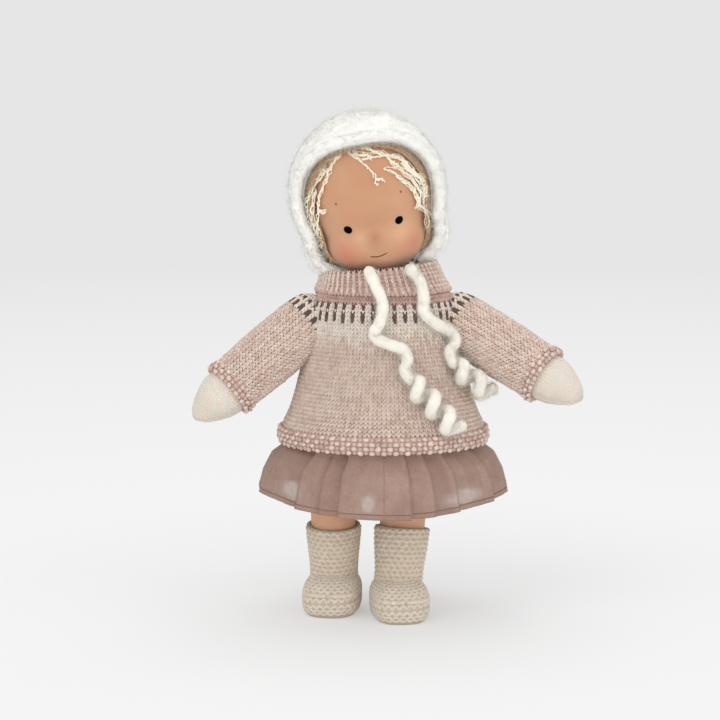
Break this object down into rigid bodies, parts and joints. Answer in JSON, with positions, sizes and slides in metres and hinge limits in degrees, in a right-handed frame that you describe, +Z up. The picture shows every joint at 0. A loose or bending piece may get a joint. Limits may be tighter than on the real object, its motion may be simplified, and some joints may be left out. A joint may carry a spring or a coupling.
{
  "type": "waldorf_doll",
  "caption": "Standing stuffed cloth doll with a round knitted-skin head, mohair bonnet, patterned knit sweater, sheer mauve skirt, mittens and cream booties",
  "frame": {"origin": "On the floor under the middle of the doll's box, midway between its two sides and between its front and back", "axes": "X across the doll, Y front to back, Z up; +X is the doll's own left, the doll faces -Y and its head is at +Z"},
  "size_m": [0.271, 0.1416, 0.355],
  "materials": {
    "cotton_jersey_skin": "fine matte knit",
    "wool_stuffing": "carded wool",
    "patterned_knit": "stockinette wool, soft and matte",
    "seed_stitch_trim": "ribbed and seed-stitch wool",
    "cream_knit": "cream wool knit, matte",
    "mohair": "long-haired brushed mohair",
    "sheer_mauve_cloth": "thin gathered gauze",
    "boucle_hair": "looped boucle yarn",
    "dark_embroidery": "satin-stitched thread",
    "brown_thread": "cotton thread"
  },
  "bodies": {
    "torso": {"torso_wool": "wool_stuffing", "torso_skin": "cotton_jersey_skin", "sweater_body": "patterned_knit", "sweater_collar": "seed_stitch_trim", "sweater_hem": "seed_stitch_trim", "skirt_cloth": "sheer_mauve_cloth", "skirt_waistband": "sheer_mauve_cloth", "bonnet_tie_left": "mohair", "bonnet_tie_right": "mohair"},
    "neck": {"neck_stub": "cotton_jersey_skin", "neck_tie": "brown_thread"},
    "head": {"head_wool": "wool_stuffing", "head_skin": "cotton_jersey_skin", "eye_left": "dark_embroidery", "eye_right": "dark_embroidery", "brow_stitch_left": "brown_thread", "brow_stitch_right": "brown_thread", "mouth_stitch": "brown_thread", "wig_cap": "boucle_hair", "bonnet_shell": "mohair", "bonnet_brim": "mohair"},
    "shoulder_left": {"arm_gather_left": "cotton_jersey_skin"},
    "arm_left": {"arm_skin_left": "cotton_jersey_skin", "arm_wool_left": "wool_stuffing", "mitten_left": "cream_knit", "sleeve_left": "patterned_knit", "cuff_left": "seed_stitch_trim"},
    "leg_left": {"leg_skin_left": "cotton_jersey_skin", "leg_wool_left": "wool_stuffing", "bootie_shaft_left": "cream_knit", "bootie_foot_left": "cream_knit"},
    "shoulder_right": {"arm_gather_right": "cotton_jersey_skin"},
    "arm_right": {"arm_skin_right": "cotton_jersey_skin", "arm_wool_right": "wool_stuffing", "mitten_right": "cream_knit", "sleeve_right": "patterned_knit", "cuff_right": "seed_stitch_trim"},
    "leg_right": {"leg_skin_right": "cotton_jersey_skin", "leg_wool_right": "wool_stuffing", "bootie_shaft_right": "cream_knit", "bootie_foot_right": "cream_knit"}
  },
  "joints": [
    {"name": "neck_turn", "type": "hinge", "parent": "torso", "child": "neck", "pos_m": [-0.0046, 0, 0.25], "axis": [0, 0, 1], "range_deg": [-50, 50], "deforming": ["bonnet_tie_left", "bonnet_tie_right"]},
    {"name": "head_tilt", "type": "hinge", "parent": "neck", "child": "head", "pos_m": [-0.0046, 0, 0.25], "axis": [0, 1, 0], "range_deg": [-2, 24], "deforming": ["bonnet_tie_left", "bonnet_tie_right"]},
    {"name": "shoulder_swing_left", "type": "hinge", "parent": "torso", "child": "shoulder_left", "pos_m": [0.0452, 0, 0.211], "axis": [-1, 0, 0], "range_deg": [-71, 68], "deforming": ["sleeve_left"]},
    {"name": "arm_raise_left", "type": "hinge", "parent": "shoulder_left", "child": "arm_left", "pos_m": [0.0452, 0, 0.211], "axis": [0, -0.7508, 0.6606], "range_deg": [-14, 75], "deforming": ["sleeve_left"]},
    {"name": "shoulder_swing_right", "type": "hinge", "parent": "torso", "child": "shoulder_right", "pos_m": [-0.0512, 0, 0.211], "axis": [-1, 0, 0], "range_deg": [-54, 85], "deforming": ["sleeve_right"]},
    {"name": "arm_raise_right", "type": "hinge", "parent": "shoulder_right", "child": "arm_right", "pos_m": [-0.0512, 0, 0.211], "axis": [0, 0.91, -0.4146], "range_deg": [-10, 78], "deforming": ["sleeve_right"]},
    {"name": "hip_left", "type": "hinge", "parent": "torso", "child": "leg_left", "pos_m": [0.01315, 0, 0.09825], "axis": [-1, 0, 0], "range_deg": [-16, 77], "deforming": ["skirt_cloth"]},
    {"name": "hip_right", "type": "hinge", "parent": "torso", "child": "leg_right", "pos_m": [-0.03851, 0, 0.10204], "axis": [-1, 0, 0], "range_deg": [-4, 89], "deforming": ["skirt_cloth"]}
  ]
}
